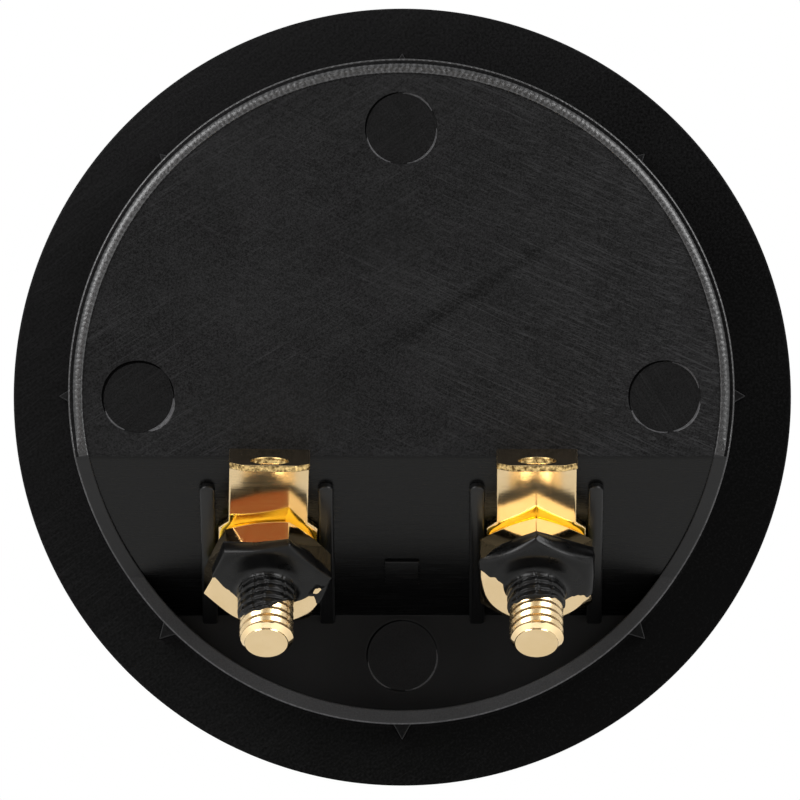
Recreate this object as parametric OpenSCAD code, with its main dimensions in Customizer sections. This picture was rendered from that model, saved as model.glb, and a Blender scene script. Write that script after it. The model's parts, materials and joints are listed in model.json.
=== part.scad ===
// Round recessed speaker terminal cup with two gold-plated binding posts.
// The frame: origin at the centre of the flange's rear face, +Y out of the cabinet, +Z up.
// Every piece is drawn in the cup's own frame (x across, y up, z into the cabinet)
// and then turned once, so that the cabinet side faces -Y.

/* [Flange and collar] */
// Outer diameter of the flange
flange_d = 73; // [70:0.5:80]
// Thickness of the flange
flange_t = 2.5; // [2:0.1:4]
// Rounding of the flange's front edge
flange_edge_r = 1.2; // [0.4:0.1:1.8]
// Outer diameter of the collar that enters the panel
collar_d = 61.5; // [60:0.5:64]
// Wall thickness of the collar
collar_wall = 1.65; // [1.2:0.05:2.2]
// Rounding of the collar's rim
rim_edge_r = 0.75; // [0.2:0.05:0.9]
// Height of the rim above the back plate and the slanted wall
rim_step = 0.2; // [0.1:0.05:0.4]
// Height of the collar round the rear pocket
pocket_rim_h = 4.5; // [3:0.1:6]
// Rounding of the recess's mouth in the flange
mouth_edge_r = 0.7; // [0.3:0.1:1.2]

/* [Crush ribs] */
// Number of crush ribs round the collar
crush_rib_count = 8; // [4:1:12]
// Height of a crush rib's ridge above the collar
crush_rib_out = 1.45; // [0.8:0.05:2]
// Width of a crush rib at its root
crush_rib_w = 1.6; // [1:0.1:3]
// Length of a crush rib along the collar
crush_rib_len = 3.4; // [2:0.1:3.6]
// Length of the slope at a crush rib's inner end
crush_rib_slope = 1.6; // [0.5:0.1:1.8]

/* [Back plate and slanted wall] */
// Depth from the flange's rear face to the back plate's rear face
cup_depth = 17.3; // [15:0.1:19]
// Thickness of the back plate and the slanted wall
plate_t = 2; // [1.5:0.1:2.5]
// Angle between the slanted wall's normal and the cup's axis
wall_slant = 50; // [46:1:54]
// Distance of the fold between plate and wall below the cup's axis
fold_drop = 6; // [4.5:0.1:7]
// Diameter of the ejector marks
ejector_d = 6.6; // [4:0.1:8]
// Depth of the ejector marks
ejector_depth = 0.18; // [0.1:0.02:0.4]
// Distance of the plate's ejector marks from the cup's axis
ejector_ring_r = 24.3; // [20:0.1:25]
// Distance of the side marks below the cup's axis
ejector_side_drop = 0.5; // [0:0.1:1]
// Gap between the floor's ejector mark and the foot of the slanted wall
ejector_floor_gap = 0.5; // [0.2:0.1:1]

/* [Wall ribs and pad] */
// Width of a wall rib
wall_rib_w = 1.4; // [0.8:0.1:2]
// Height of a wall rib
wall_rib_h = 0.6; // [0.3:0.05:0.65]
// Reach of a wall rib above the post's axis
wall_rib_up = 9.4; // [7:0.1:11]
// Width of the small raised pad between the terminals
pad_w = 3.2; // [2:0.1:5]
// Length of the pad along the wall
pad_len = 3.4; // [2:0.1:5]
// Height of the pad
pad_h = 0.3; // [0.1:0.05:0.5]
// Distance of the pad's centre below the post's axis
pad_down = 3.2; // [0:0.1:5]

/* [Binding posts] */
// Distance between the two posts
post_spacing = 25; // [19:0.1:28]
// Distance of the posts below the fold, along the wall
post_below_fold = 13.1; // [11.5:0.1:14]
// Diameter of the threaded stud
stud_d = 5; // [4:0.1:6]
// Length of stud beyond the nut
stud_out = 6.8; // [4:0.1:10]
// Chamfer of the stud's end
stud_chamfer = 0.5; // [0.2:0.05:0.8]
// Diameter of the shoulder
shoulder_d = 10; // [9:0.1:11]
// Thickness of the shoulder
shoulder_t = 1.5; // [1:0.1:3]
// Diameter of the threaded barrel
barrel_d = 7; // [6.4:0.1:7.6]
// Length of the barrel in front of the shoulder
barrel_len = 17.4; // [15:0.1:20]
// Chamfer of the barrel's mouth
barrel_chamfer = 0.5; // [0.2:0.05:0.8]
// Diameter of the plug socket in the barrel
socket_d = 4; // [3:0.1:4.4]
// Depth of the plug socket
socket_depth = 12.5; // [8:0.1:13]
// Diameter of the cross-drilled wire hole
wire_hole_d = 2.6; // [1.5:0.1:3]
// Gap between the shoulder and the wire hole
wire_hole_gap = 0.6; // [0.2:0.1:1]

/* [Washers and nuts] */
// Diameter of the coloured polarity washer
polarity_d = 12.6; // [11:0.1:14]
// Thickness of the polarity washer
polarity_t = 2; // [1:0.1:3]
// Diameter of the floating clamp washer
clamp_d = 10.6; // [9:0.1:11.4]
// Thickness of the clamp washer
clamp_t = 1.2; // [0.8:0.1:2]
// Width of the nut across its flats
nut_af = 10.4; // [9:0.1:11]
// Height of the nut
nut_h = 4.1; // [2.5:0.1:5]
// Diameter of the nut's chamfered end face
nut_face_d = 10.2; // [8:0.1:10.3]
// Diameter of the nut's seat on the tab
nut_seat_d = 8.5; // [7.5:0.1:10.3]
// Angle of the chamfer at the nut's end face
nut_chamfer = 30; // [20:1:40]
// Angle of the chamfer at the nut's seat
nut_seat_chamfer = 20; // [15:1:30]
// Turn of each nut about its stud, left and right
nut_turn = [15, 30]; // [0:1:60]

/* [Solder tabs] */
// Width of a solder tab
tab_w = 7.4; // [6:0.1:8.6]
// Width of the tab's foot, which the wall ribs keep from turning
tab_foot_w = 9.2; // [8.8:0.1:9.6]
// Height of the foot's straight sides above the post's axis
tab_foot_up = 3.65; // [2:0.05:4.5]
// Thickness of a solder tab
tab_t = 0.6; // [0.4:0.05:1]
// Turn of each tab about its stud, left and right
tab_turn = [-1.5, 0]; // [-1.5:0.5:1.5]
// Flat length from the post's axis to the bend
tab_reach = 13.7; // [13.5:0.1:16]
// Bend of the tab's free end away from the wall
tab_bend = 52; // [30:1:80]
// Inner radius of the bend
tab_bend_r = 0.6; // [0.3:0.1:1.5]
// Length of the bent end
tab_end_len = 8; // [6:0.1:12]
// Chamfer of the free end's corners
tab_corner = 1.25; // [0.3:0.05:2]
// Diameter of the wire eyelet
eyelet_d = 3.5; // [2:0.1:4]
// Distance of the eyelet's centre from the free end
eyelet_setback = 2.4; // [2.2:0.1:4]

/* [Thumb knobs] */
// Outer diameter of the knob
knob_d = 11.8; // [11.4:0.1:13]
// Length of the knob
knob_len = 16; // [14:0.1:18]
// Length of the smooth collar at the knob's base
knob_base_len = 2.4; // [1.5:0.1:4]
// Chamfer of the knob's ends
knob_chamfer = 0.5; // [0.2:0.1:0.8]
// Number of grip flutes
flute_count = 24; // [12:1:30]
// Radius of a grip flute
flute_r = 0.5; // [0.3:0.05:0.6]
// Width of the plain land between the flutes and the coloured ring
knob_land = 0.8; // [0.4:0.1:1.5]
// Length of the coloured ring
ring_len = 3; // [2:0.1:4]
// Wall thickness of the coloured ring
ring_wall = 1.1; // [0.8:0.1:1.3]
// Depth of the funnel at the knob's mouth
funnel_depth = 0.9; // [0.4:0.1:1.5]

/* [Locking lacquer] */
// Thickness of the lacquer over nut and thread
lacquer_t = 0.12; // [0.06:0.02:0.3]
// Length of thread that the lacquer covers
lacquer_len = 3.4; // [1:0.1:5]
// Distance of the lacquer's lower edge below the stud's axis
lacquer_drop = 1; // [0:0.1:2.4]

/* [Clearances] */
// Radial clearance of holes round the stud
stud_fit = 0.15; // [0.05:0.05:0.4]
// Radial clearance between mated threads
thread_fit = 0.03; // [0.02:0.01:0.1]
// Radial running clearance round the barrel
running_fit = 0.06; // [0.02:0.01:0.1]
// Radial clearance of the ring on the knob
ring_fit = 0.02; // [0.01:0.01:0.05]
// Gap between faces that part when a knob turns
seat_gap = 0.05; // [0.02:0.01:0.2]
// Clearance between the tab's foot and each wall rib
foot_fit = 0.2; // [0.15:0.05:0.6]

/* [Hidden] */
$fn = 96;

left = -1;
right = 1;
cut_over = 1;

flange_r = flange_d / 2;
collar_r = collar_d / 2;
collar_in_r = collar_r - collar_wall;
rim_top = cup_depth + rim_step;
plate_front = cup_depth - plate_t;

// Height of a point on a plane parallel to the slanted wall's rear face,
// at depth z and at the given distance behind that face.
function wall_y(z, behind) =
    -fold_drop + (cos(wall_slant) * (z - cup_depth) - behind) / sin(wall_slant);

wall_foot_y = wall_y(0, 0);
post_y = -fold_drop - post_below_fold * cos(wall_slant);
post_z = cup_depth - post_below_fold * sin(wall_slant);
wall_foot_down = post_z / sin(wall_slant);

// Levels along a post's axis, measured from the wall's rear face, positive into the cabinet.
nut_z = tab_t;
nut_top = nut_z + nut_h;
stud_end = nut_top + stud_out;
polarity_z = -plate_t - polarity_t;
shoulder_z = polarity_z - shoulder_t;
clamp_z = shoulder_z - seat_gap - clamp_t;
knob_z = clamp_z - seat_gap;
knob_end = knob_z - knob_len;
barrel_end = shoulder_z - barrel_len;
wire_hole_z = shoulder_z - wire_hole_gap - wire_hole_d / 2;

nut_corner_r = nut_af / 2 / cos(30);
wall_rib_gap = tab_foot_w + 2 * foot_fit;
knob_bore_d = barrel_d + 2 * running_fit;
ring_seat_d = knob_d - 2 * ring_wall;

red_plastic = [0.62, 0.05, 0.04];
black_plastic = [0.06, 0.06, 0.065];
gold = [0.83, 0.62, 0.25];

// Turns the cup's own frame into the part's frame.
module in_place() {
    rotate([90, 0, 0])
        children();
}

// Frame of one terminal: origin on the wall's rear face, z along the stud, y up the wall.
module at_terminal(side) {
    in_place()
        translate([side * post_spacing / 2, post_y, post_z])
            rotate([wall_slant, 0, 0])
                children();
}

// Solid of a side view drawn in the cup's y and z, right across the cup.
module across(points) {
    rotate([90, 0, 90])
        linear_extrude(height = flange_d, center = true)
            polygon(points);
}

// Half section of a disc whose upper edge is rounded.
module rounded_disc_section(r, h, edge_r) {
    square([r - edge_r, h]);
    square([r, h - edge_r]);
    translate([r - edge_r, h - edge_r])
        circle(edge_r);
}

module flange() {
    mirror([0, 0, 1])
        rotate_extrude()
            rounded_disc_section(flange_r, flange_t, flange_edge_r);
}

// Collar that follows the slanted wall at its lower half, with a low rim round the pocket.
// Its revolved sections start midway between two crush ribs.
module collar() {
    over = rim_top + cut_over;
    under = -cut_over;
    half_pitch = 180 / crush_rib_count;
    intersection() {
        rotate(half_pitch)
            rotate_extrude()
                rounded_disc_section(collar_r, rim_top, rim_edge_r);
        across([
            [wall_y(under, rim_step), under],
            [wall_y(over, rim_step), over],
            [flange_r, over],
            [flange_r, under]
        ]);
    }
    rotate(half_pitch)
        rotate_extrude()
            rounded_disc_section(collar_r, pocket_rim_h, rim_edge_r);
}

// V-shaped ribs that bite into the panel's cut-out, sloped at their inner ends.
module crush_ribs() {
    ridge_r = collar_r + crush_rib_out;
    root_r = collar_r - collar_wall / 4;
    slope = crush_rib_slope / crush_rib_out;
    outer_r = ridge_r + crush_rib_out;
    intersection() {
        for (i = [0 : crush_rib_count - 1])
            rotate(90 + i * 360 / crush_rib_count)
                linear_extrude(height = crush_rib_len + slope * collar_wall)
                    polygon([
                        [root_r, -crush_rib_w / 2],
                        [collar_r, -crush_rib_w / 2],
                        [ridge_r, 0],
                        [collar_r, crush_rib_w / 2],
                        [root_r, crush_rib_w / 2]
                    ]);
        rotate_extrude()
            polygon([
                [0, -cut_over],
                [outer_r, -cut_over],
                [outer_r, crush_rib_len - slope * (outer_r - collar_r)],
                [root_r, crush_rib_len + slope * (collar_r - root_r)],
                [0, crush_rib_len + slope * (collar_r - root_r)]
            ]);
    }
}

// Space behind the plate, the slanted wall and the pocket's floor.
module rear_space() {
    over = rim_top + cut_over;
    intersection() {
        cylinder(r = collar_in_r, h = over);
        across([
            [-flange_r, 0],
            [wall_foot_y, 0],
            [-fold_drop, cup_depth],
            [flange_r, cup_depth],
            [flange_r, over],
            [-flange_r, over]
        ]);
    }
}

// Recess for the knobs, open to the front through a rounded mouth.
module front_recess() {
    mouth = -flange_t - cut_over;
    intersection() {
        union() {
            translate([0, 0, mouth])
                cylinder(r = collar_in_r, h = plate_front - mouth);
            rotate_extrude()
                difference() {
                    translate([0, mouth])
                        square([collar_in_r + mouth_edge_r, cut_over + mouth_edge_r]);
                    translate([collar_in_r + mouth_edge_r, mouth_edge_r - flange_t])
                        circle(mouth_edge_r);
                }
        }
        across([
            [wall_y(mouth, -plate_t), mouth],
            [wall_y(plate_front, -plate_t), plate_front],
            [flange_r, plate_front],
            [flange_r, mouth]
        ]);
    }
}

module ejector_mark(x, y, level) {
    translate([x, y, level - ejector_depth])
        cylinder(d = ejector_d, h = ejector_depth + rim_step);
}

module ejector_marks() {
    floor_mark_y = wall_foot_y - ejector_floor_gap - ejector_d / 2;
    ejector_mark(0, ejector_ring_r, cup_depth);
    ejector_mark(-ejector_ring_r, -ejector_side_drop, cup_depth);
    ejector_mark(ejector_ring_r, -ejector_side_drop, cup_depth);
    ejector_mark(0, floor_mark_y, 0);
}

// Low ribs on the slanted wall at both sides of a terminal, round at their upper ends.
module wall_ribs() {
    root = plate_t / 4;
    foot = wall_foot_down + root;
    straight = wall_rib_up - wall_rib_w / 2;
    for (x = [-1, 1])
        translate([x * (wall_rib_gap + wall_rib_w) / 2, 0, -root])
            linear_extrude(height = wall_rib_h + root) {
                translate([-wall_rib_w / 2, -foot])
                    square([wall_rib_w, foot + straight]);
                translate([0, straight])
                    circle(d = wall_rib_w);
            }
}

// Plain raised pad on the slanted wall, midway between the terminals.
module pad() {
    root = plate_t / 4;
    translate([-pad_w / 2, -pad_down - pad_len / 2, -root])
        cube([pad_w, pad_len, pad_h + root]);
}

module cup_shell() {
    color(black_plastic) {
        difference() {
            in_place()
                difference() {
                    union() {
                        flange();
                        collar();
                        crush_ribs();
                    }
                    rear_space();
                    front_recess();
                    ejector_marks();
                }
            for (side = [left, right])
                at_terminal(side)
                    translate([0, 0, -2 * plate_t])
                        cylinder(r = stud_d / 2 + stud_fit, h = 3 * plate_t);
        }
        for (side = [left, right])
            at_terminal(side)
                wall_ribs();
        at_terminal(0)
            pad();
    }
}

// One turned piece: stud, shoulder and barrel, with the plug socket and the wire hole.
module binding_post(side) {
    stud_r = stud_d / 2;
    barrel_r = barrel_d / 2;
    color(gold)
        at_terminal(side)
            difference() {
                rotate_extrude()
                    polygon([
                        [0, barrel_end],
                        [barrel_r - barrel_chamfer, barrel_end],
                        [barrel_r, barrel_end + barrel_chamfer],
                        [barrel_r, shoulder_z],
                        [shoulder_d / 2, shoulder_z],
                        [shoulder_d / 2, polarity_z],
                        [stud_r, polarity_z],
                        [stud_r, stud_end - stud_chamfer],
                        [stud_r - stud_chamfer, stud_end],
                        [0, stud_end]
                    ]);
                translate([0, 0, barrel_end - cut_over])
                    cylinder(d = socket_d, h = socket_depth + cut_over);
                translate([0, 0, wire_hole_z])
                    rotate([0, 90, 0])
                        cylinder(d = wire_hole_d, h = shoulder_d, center = true);
            }
}

module polarity_washer(side, tint) {
    edge = polarity_t / 5;
    outer = polarity_d / 2;
    inner = stud_d / 2 + stud_fit;
    color(tint)
        at_terminal(side)
            rotate_extrude()
                polygon([
                    [inner, polarity_z],
                    [outer - edge, polarity_z],
                    [outer, polarity_z + edge],
                    [outer, -plate_t],
                    [inner, -plate_t]
                ]);
}

module clamp_washer(side) {
    edge = clamp_t / 4;
    inner = barrel_d / 2 + running_fit;
    outer = clamp_d / 2;
    color(gold)
        at_terminal(side)
            rotate_extrude()
                polygon([
                    [inner, clamp_z],
                    [outer, clamp_z],
                    [outer, clamp_z + clamp_t - edge],
                    [outer - edge, clamp_z + clamp_t],
                    [inner, clamp_z + clamp_t]
                ]);
}

// Fluted knob with a plain base, a stepped end for the coloured ring and a funnel mouth.
module thumb_knob(side) {
    outer = knob_d / 2;
    ring_z = knob_end + ring_len;
    flute_top = knob_z - knob_base_len;
    flute_bottom = ring_z + knob_land;
    mouth_r = knob_bore_d / 2 + funnel_depth;
    color(gold)
        at_terminal(side)
            difference() {
                rotate_extrude()
                    polygon([
                        [knob_bore_d / 2, knob_end + funnel_depth],
                        [mouth_r, knob_end],
                        [ring_seat_d / 2, knob_end],
                        [ring_seat_d / 2, ring_z],
                        [outer - knob_chamfer, ring_z],
                        [outer, ring_z + knob_chamfer],
                        [outer, knob_z - knob_chamfer],
                        [outer - knob_chamfer, knob_z],
                        [knob_bore_d / 2, knob_z]
                    ]);
                for (i = [0 : flute_count - 1])
                    rotate(i * 360 / flute_count)
                        translate([outer, 0, flute_bottom])
                            cylinder(r = flute_r, h = flute_top - flute_bottom);
            }
}

module knob_ring(side, tint) {
    edge = ring_wall / 3;
    inner = ring_seat_d / 2 + ring_fit;
    outer = knob_d / 2;
    color(tint)
        at_terminal(side)
            rotate_extrude()
                polygon([
                    [inner, knob_end],
                    [outer - edge, knob_end],
                    [outer, knob_end + edge],
                    [outer, knob_end + ring_len],
                    [inner, knob_end + ring_len]
                ]);
}

// Side view of the tab in distance up the wall and height above it: flat, bend and end.
module tab_side_view() {
    bend_out_r = tab_bend_r + tab_t;
    sector = 3 * bend_out_r;
    translate([-tab_foot_w / 2, 0])
        square([tab_foot_w / 2 + tab_reach, tab_t]);
    translate([tab_reach, bend_out_r]) {
        intersection() {
            difference() {
                circle(bend_out_r);
                circle(tab_bend_r);
            }
            polygon([
                [0, 0],
                [0, -sector],
                [sector * sin(tab_bend / 2), -sector * cos(tab_bend / 2)],
                [sector * sin(tab_bend), -sector * cos(tab_bend)]
            ]);
        }
        rotate(tab_bend)
            translate([0, -bend_out_r])
                square([tab_end_len, tab_t]);
    }
}

// Frame of the tab's bent end: x across, y along the end from the bend, z out of its outer face.
module at_tab_end() {
    translate([0, tab_reach, tab_bend_r + tab_t])
        rotate([tab_bend, 0, 0])
            translate([0, 0, -tab_bend_r - tab_t])
                children();
}

// Cut for the free end's two corners.
module tab_corner_cuts() {
    for (x = [-1, 1])
        translate([x * tab_w / 2, tab_end_len, -tab_t])
            rotate(45)
                translate([-tab_corner / sqrt(2), -tab_corner / sqrt(2), 0])
                    cube([tab_corner * sqrt(2), tab_corner * sqrt(2), 3 * tab_t]);
}

// Outline of the tab seen along the stud: a round foot, sloped shoulders and the strip.
module tab_outline(reach) {
    strip = tab_w / 2;
    foot = tab_foot_w / 2;
    shoulder_up = tab_foot_up + foot - strip;
    circle(foot);
    polygon([
        [-foot, 0],
        [foot, 0],
        [foot, tab_foot_up],
        [strip, shoulder_up],
        [strip, reach],
        [-strip, reach],
        [-strip, shoulder_up],
        [-foot, tab_foot_up]
    ]);
}

module solder_tab(side) {
    reach = tab_reach + tab_bend_r + tab_t + tab_end_len;
    height = tab_bend_r + tab_t + tab_end_len;
    turn = side == left ? tab_turn[0] : tab_turn[1];
    color(gold)
        at_terminal(side)
            rotate(turn)
                difference() {
                    intersection() {
                        rotate([90, 0, 90])
                            linear_extrude(height = tab_foot_w, center = true)
                                tab_side_view();
                        linear_extrude(height = height)
                            tab_outline(reach);
                    }
                    translate([0, 0, -tab_t])
                        cylinder(r = stud_d / 2 + stud_fit, h = 3 * tab_t);
                    at_tab_end() {
                        translate([0, tab_end_len - eyelet_setback, -tab_t])
                            cylinder(d = eyelet_d, h = 3 * tab_t);
                        tab_corner_cuts();
                    }
                }
}

// Hexagon with both ends turned to a chamfer.
module hex_nut(side) {
    top_drop = (nut_corner_r - nut_face_d / 2) * tan(nut_chamfer);
    seat_rise = (nut_corner_r - nut_seat_d / 2) * tan(nut_seat_chamfer);
    turn = side == left ? nut_turn[0] : nut_turn[1];
    half_flat = 30;
    color(gold)
        at_terminal(side)
            translate([0, 0, nut_z])
                rotate(turn - half_flat)
                    difference() {
                        intersection() {
                            rotate(half_flat)
                                cylinder(r = nut_corner_r, h = nut_h, $fn = 6);
                            rotate_extrude()
                                polygon([
                                    [0, 0],
                                    [nut_seat_d / 2, 0],
                                    [nut_corner_r, seat_rise],
                                    [nut_corner_r, nut_h - top_drop],
                                    [nut_face_d / 2, nut_h],
                                    [0, nut_h]
                                ]);
                        }
                        translate([0, 0, -nut_h])
                            cylinder(r = stud_d / 2 + thread_fit, h = 3 * nut_h);
                    }
}

// Brushed-on lacquer over the upper part of the nut's end face and the first turns of thread.
module locking_lacquer(side) {
    inner = stud_d / 2 + thread_fit;
    collar_out = inner + lacquer_t;
    face = nut_face_d / 2;
    color(black_plastic)
        at_terminal(side)
            translate([0, 0, nut_top])
                intersection() {
                    rotate_extrude()
                        polygon([
                            [inner, 0],
                            [face, 0],
                            [face, lacquer_t],
                            [collar_out, lacquer_t],
                            [collar_out, lacquer_len],
                            [inner, lacquer_len]
                        ]);
                    translate([-nut_af, -lacquer_drop, -lacquer_t])
                        cube([2 * nut_af, nut_af, lacquer_len + 2 * lacquer_t]);
                }
}

cup_shell();
binding_post(left);  // left_binding_post
binding_post(right);  // right_binding_post
polarity_washer(left, red_plastic);  // left_polarity_washer
polarity_washer(right, black_plastic);  // right_polarity_washer
clamp_washer(left);  // left_clamp_washer
clamp_washer(right);  // right_clamp_washer
thumb_knob(left);  // left_thumb_knob
thumb_knob(right);  // right_thumb_knob
knob_ring(left, red_plastic);  // left_knob_ring
knob_ring(right, black_plastic);  // right_knob_ring
solder_tab(left);  // left_solder_tab
solder_tab(right);  // right_solder_tab
hex_nut(left);  // left_hex_nut
hex_nut(right);  // right_hex_nut
locking_lacquer(left);  // left_locking_lacquer
locking_lacquer(right);  // right_locking_lacquer
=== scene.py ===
import json
import math

import bmesh
import bpy
import numpy as np
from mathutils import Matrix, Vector
from mathutils.geometry import delaunay_2d_cdt


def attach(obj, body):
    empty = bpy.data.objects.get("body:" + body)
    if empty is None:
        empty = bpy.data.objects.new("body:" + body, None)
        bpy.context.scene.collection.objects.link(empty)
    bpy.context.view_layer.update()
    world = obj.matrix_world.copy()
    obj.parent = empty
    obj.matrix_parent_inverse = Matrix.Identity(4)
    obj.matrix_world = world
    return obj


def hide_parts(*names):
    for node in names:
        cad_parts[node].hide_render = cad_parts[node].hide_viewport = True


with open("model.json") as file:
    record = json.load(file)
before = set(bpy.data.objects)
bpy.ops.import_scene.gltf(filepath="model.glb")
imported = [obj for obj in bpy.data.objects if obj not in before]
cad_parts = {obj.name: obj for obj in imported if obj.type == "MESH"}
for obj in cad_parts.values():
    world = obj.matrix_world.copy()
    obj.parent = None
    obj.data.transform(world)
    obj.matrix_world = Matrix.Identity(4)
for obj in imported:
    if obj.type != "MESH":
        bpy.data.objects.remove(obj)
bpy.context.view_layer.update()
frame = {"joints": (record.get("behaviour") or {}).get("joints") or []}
joints = {joint["name"]: joint for joint in frame["joints"]}

mm = 0.001  # sizes below are in millimetres, meshes in metres
fullTurn = 2 * math.pi
across = np.array([1.0, 0.0, 0.0])
sides = ("left", "right")


# Quads of a grid of points: corner (i, j) joins (i+1, j), (i+1, j+1) and (i, j+1);
# a closed direction joins its last line to its first.
def gridQuads(rows, cols, closeRows=False, closeCols=False):
    index = np.arange(rows * cols).reshape(rows, cols)
    if closeRows:
        index = np.vstack([index, index[:1]])
    if closeCols:
        index = np.hstack([index, index[:, :1]])
    corners = [index[:-1, :-1], index[1:, :-1], index[1:, 1:], index[:-1, 1:]]
    return np.stack(corners, -1).reshape(-1, 4)


# A patch is (points, quads, zone): points on a grid, and the material slot of its faces.
def patch(points, zone=0, closeRows=False, closeCols=False):
    rows, cols = points.shape[:2]
    quads = gridQuads(rows, cols, closeRows, closeCols)
    return points.reshape(-1, 3), quads, np.broadcast_to(zone, len(quads))


# One mesh object from patches in the row's frame; edges that meet are welded
# and the faces of the closed result are turned outwards.
def makePiece(name, patches, weld=1e-6):
    starts = np.cumsum([0] + [len(points) for points, _, _ in patches])
    points = np.concatenate([points for points, _, _ in patches])
    loops = np.concatenate([(faces + start).ravel() for (_, faces, _), start in zip(patches, starts)])
    sizes = np.concatenate([np.full(len(faces), faces.shape[1]) for _, faces, _ in patches])
    zones = np.concatenate([zone for _, _, zone in patches])
    mesh = bpy.data.meshes.new(name)
    mesh.vertices.add(len(points))
    mesh.vertices.foreach_set("co", points.astype(np.float32).ravel())
    mesh.loops.add(len(loops))
    mesh.loops.foreach_set("vertex_index", loops.astype(np.int32))
    mesh.polygons.add(len(sizes))
    mesh.polygons.foreach_set("loop_start", (np.cumsum(sizes) - sizes).astype(np.int32))
    mesh.polygons.foreach_set("material_index", zones.astype(np.int32))
    mesh.update(calc_edges=True)
    work = bmesh.new()
    work.from_mesh(mesh)
    bmesh.ops.remove_doubles(work, verts=work.verts, dist=weld)
    bmesh.ops.recalc_face_normals(work, faces=work.faces)
    work.to_mesh(mesh)
    work.free()
    mesh.shade_smooth()
    piece = bpy.data.objects.new(name, mesh)
    bpy.context.scene.collection.objects.link(piece)
    return piece


# Takes the cutter's volume out of a piece and keeps the result as its mesh.
def cutAway(piece, cutter):
    cut = piece.modifiers.new("cut", "BOOLEAN")
    cut.operation, cut.solver, cut.object = "DIFFERENCE", "EXACT", cutter
    ready = piece.evaluated_get(bpy.context.evaluated_depsgraph_get())
    mesh = bpy.data.meshes.new_from_object(ready)
    piece.modifiers.clear()
    piece.data = mesh
    mesh.shade_smooth()
    bpy.data.objects.remove(cutter)


# Small rounded edges wherever two faces meet at more than the given angle.
def soften(piece, width, angle, segments=2):
    bevel = piece.modifiers.new("soft edges", "BEVEL")
    bevel.width, bevel.segments = width * mm, segments
    bevel.limit_method, bevel.angle_limit = "ANGLE", math.radians(angle)
    even = piece.modifiers.new("even normals", "WEIGHTED_NORMAL")
    even.keep_sharp = False


# Hard edges wherever two faces meet at more than the given angle.
def crisp(piece, angle):
    piece.data.set_sharp_from_angle(angle=math.radians(angle))


# Finishes, the body that carries the piece, its material slot (not used) and the solid it stands for.
def dress(piece, body, slot, node, *finishes):
    for finish in finishes:
        piece.data.materials.append(finish)
    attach(piece, body)
    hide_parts(node)


# A profile of (r, z) corners, each replaced by an arc of its radius (0 keeps the corner).
def roundedProfile(corners, radii, steps=5):
    corners = np.asarray(corners, float)
    before, after = np.roll(corners, 1, 0) - corners, np.roll(corners, -1, 0) - corners
    run = []
    for corner, a, b, radius in zip(corners, before, after, radii):
        if not radius:
            run.append(corner[None])
            continue
        a, b = a / np.hypot(*a), b / np.hypot(*b)
        half = math.acos(np.clip(a @ b, -1, 1)) / 2
        centre = corner + (a + b) / np.hypot(*(a + b)) * radius / math.sin(half)
        start, end = (corner + side * radius / math.tan(half) - centre for side in (a, b))
        turn = math.pi - 2 * half
        share = np.linspace(0, 1, steps + 1)[:, None]
        arc = (np.sin((1 - share) * turn) * start + np.sin(share * turn) * end) / math.sin(turn)
        run.append(centre + arc)
    return np.concatenate(run)


# Points at a radius and a level in the given directions: (r cos a, r sin a, z).
def polar(r, angle, z):
    return np.stack(np.broadcast_arrays(r * np.cos(angle), r * np.sin(angle), z), -1)


# Directions at equal steps round a full turn.
def evenTurn(count):
    return np.arange(count) * fullTurn / count


# Surface of revolution: radius and level per row, turned round z.
def revolved(profile, count=96):
    return polar(profile[:, :1], evenTurn(count), profile[:, 1:])


# Closed prism over an outline of (x, y), with a bottom and a top level per outline point.
def prism(outline, bottom, top):
    outline = np.asarray(outline, float)
    rings = [np.column_stack([outline, np.broadcast_to(z, len(outline))]) for z in (bottom, top)]
    caps = [np.broadcast_to(ring.mean(0), ring.shape) for ring in rings]
    return np.stack([caps[0], rings[0], rings[1], caps[1]])


# Smooth pseudo-random field: a mean of sines with seeded directions and phases.
def ripple(seed, u, v, reach, count=14):
    draw = np.random.default_rng(seed)
    a, b = draw.normal(0, reach, (2, count))
    phase = draw.uniform(0, fullTurn, count)
    u, v = np.broadcast_arrays(u, v)
    return np.sin(u[..., None] * a + v[..., None] * b + phase).mean(-1) * 2


# Eased step from 0 to 1: 3x^2 - 2x^3.
def smoothStep(x):
    x = np.clip(x, 0, 1)
    return x * x * (3 - 2 * x)


# Smooth lesser (sign 1) or greater (sign -1) of two heights, blended over a height of k.
def softLesser(a, b, k, sign=1):
    share = np.clip(0.5 + 0.5 * sign * (b - a) / k, 0, 1)
    return b + (a - b) * share - sign * k * share * (1 - share)


# The cup's own frame (x across, y up, z into the cabinet) to the row's frame, in metres.
def fromCup(points):
    return np.stack([points[..., 0], -points[..., 2], points[..., 1]], -1) * mm


# The same way back, from metres to millimetres.
def toCup(points):
    return np.stack([points[..., 0], points[..., 2], -points[..., 1]], -1) / mm


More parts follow.
